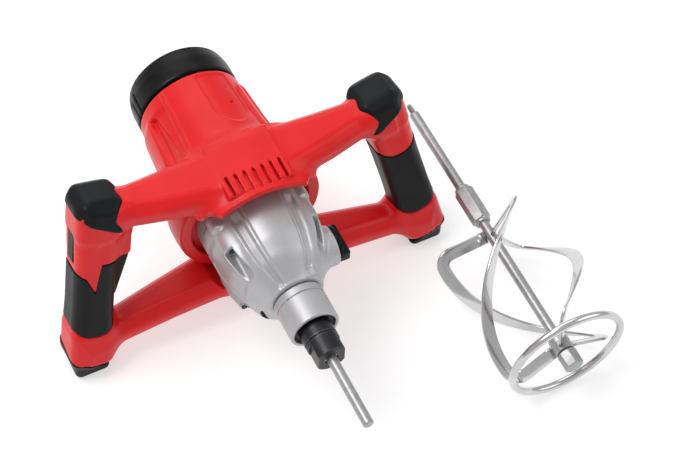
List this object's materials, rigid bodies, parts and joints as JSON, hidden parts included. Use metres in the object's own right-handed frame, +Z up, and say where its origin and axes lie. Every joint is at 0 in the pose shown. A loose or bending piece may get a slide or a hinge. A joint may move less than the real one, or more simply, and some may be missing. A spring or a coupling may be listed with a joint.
{
  "type": "drill paint mixer",
  "caption": "Two-handed electric mixer with a geared spindle, a looped handle on each side, a trigger, and a helical ring stirrer unscrewed beside it.",
  "frame": {"origin": "centre of the footprint on the floor, under the machine lying on its rear corner bumpers with the stirrer beside it", "axes": "+X from the trigger handle to the other handle and on to the stirrer, +Y along the tool axis from the spindle to the motor cap, +Z up, which is the machine's front"},
  "size_m": [0.4696, 0.419, 0.2015],
  "materials": {
    "red_plastic": "moulded satin gloss",
    "black_plastic": "moulded fine grain",
    "black_rubber": "soft grip, matt",
    "cast_alloy": "painted silver die casting",
    "dark_steel": "blackened steel",
    "gear_steel": "hobbed and ground",
    "bronze": "sintered",
    "copper": "enamelled winding wire",
    "carbon": "pressed graphite",
    "rod_steel": "zinc plated, drawn",
    "polished_steel": "polished plating"
  },
  "bodies": {
    "machine": {"bearing_bracket": "cast_alloy", "brush_holders": "bronze", "brush_springs": "gear_steel", "cap_screws": "dark_steel", "carbon_brushes": "carbon", "cord_gland": "black_rubber", "countershaft_bushes": "bronze", "field_coils": "copper", "front_yoke_base": "red_plastic", "front_yoke_cover": "red_plastic", "gear_housing": "cast_alloy", "gear_plate": "cast_alloy", "gear_screws": "dark_steel", "left_front_bumper": "black_rubber", "left_grip_inner_shell": "red_plastic", "left_grip_outer_shell": "red_plastic", "left_grip_sleeve": "black_rubber", "left_rear_bumper": "black_rubber", "motor_cap": "black_plastic", "motor_housing": "red_plastic", "nose_sleeve": "cast_alloy", "rear_yoke_base": "red_plastic", "rear_yoke_cover": "red_plastic", "right_front_bumper": "black_rubber", "right_grip_inner_shell": "red_plastic", "right_grip_outer_shell": "red_plastic", "right_grip_sleeve": "black_rubber", "right_rear_bumper": "black_rubber", "rotor_bearings": "gear_steel", "speed_module": "black_plastic", "spindle_bearings": "gear_steel", "spindle_seal": "black_rubber", "stator_core": "gear_steel", "switch_body": "black_plastic", "yoke_screws": "dark_steel"},
    "spindle": {"spindle": "dark_steel", "spindle_high_gear": "gear_steel", "dog_ring": "dark_steel", "drive_rod": "rod_steel"},
    "low_gear": {"spindle_low_gear": "gear_steel"},
    "countershaft": {"countershaft": "gear_steel", "countershaft_gear": "gear_steel"},
    "rotor": {"rotor_shaft": "gear_steel", "rotor_core": "gear_steel", "rotor_windings": "copper", "commutator": "copper", "cooling_fan": "black_plastic"},
    "trigger": {"trigger": "black_plastic"},
    "lock_button": {"lock_button": "red_plastic"},
    "selector": {"selector_knob": "black_plastic"},
    "stirrer": {"stirrer_upper_rod": "rod_steel", "stirrer_rod": "rod_steel", "rod_coupling": "rod_steel", "stirrer_hub": "rod_steel", "hub_nut": "rod_steel", "stirrer_ring": "polished_steel", "stirrer_blade_1": "polished_steel", "stirrer_blade_2": "polished_steel", "stirrer_blade_3": "polished_steel"}
  },
  "joints": [
    {"name": "spindle_spin", "type": "hinge", "parent": "machine", "child": "spindle", "pos_m": [-0.039, -0.1335, 0.114], "axis": [0, 1, 0], "continuous": true},
    {"name": "low_gear_spin", "type": "hinge", "parent": "machine", "child": "low_gear", "pos_m": [-0.039, -0.0265, 0.114], "axis": [0, 1, 0], "continuous": true},
    {"name": "countershaft_spin", "type": "hinge", "parent": "machine", "child": "countershaft", "pos_m": [-0.039, -0.0135, 0.086], "axis": [0, 1, 0], "continuous": true},
    {"name": "rotor_spin", "type": "hinge", "parent": "machine", "child": "rotor", "pos_m": [-0.039, 0.1065, 0.114], "axis": [0, 1, 0], "continuous": true},
    {"name": "trigger_press", "type": "slide", "parent": "machine", "child": "trigger", "axis": [-0.9783, 0.0509, 0.2007], "range_m": [0, 0.006], "stiffness_N_per_m": 500, "springref_m": -0.003},
    {"name": "lock_button_press", "type": "slide", "parent": "machine", "child": "lock_button", "axis": [-0.9783, 0.0509, 0.2007], "range_m": [0, 0.003], "stiffness_N_per_m": 400, "springref_m": -0.002},
    {"name": "selector_turn", "type": "hinge", "parent": "machine", "child": "selector", "pos_m": [0.022, -0.0255, 0.114], "axis": [1, 0, 0], "range_deg": [0, 60]},
    {"name": "stirrer_lift", "type": "slide", "parent": "machine", "child": "stirrer", "axis": [0, 0, 1], "range_m": [0, 0.3]}
  ],
  "couplings": [
    {"joint": "countershaft_spin", "follows": "spindle_spin", "ratio": -4},
    {"joint": "low_gear_spin", "follows": "spindle_spin", "ratio": 0.65116},
    {"joint": "rotor_spin", "follows": "spindle_spin", "ratio": 20.889}
  ]
}
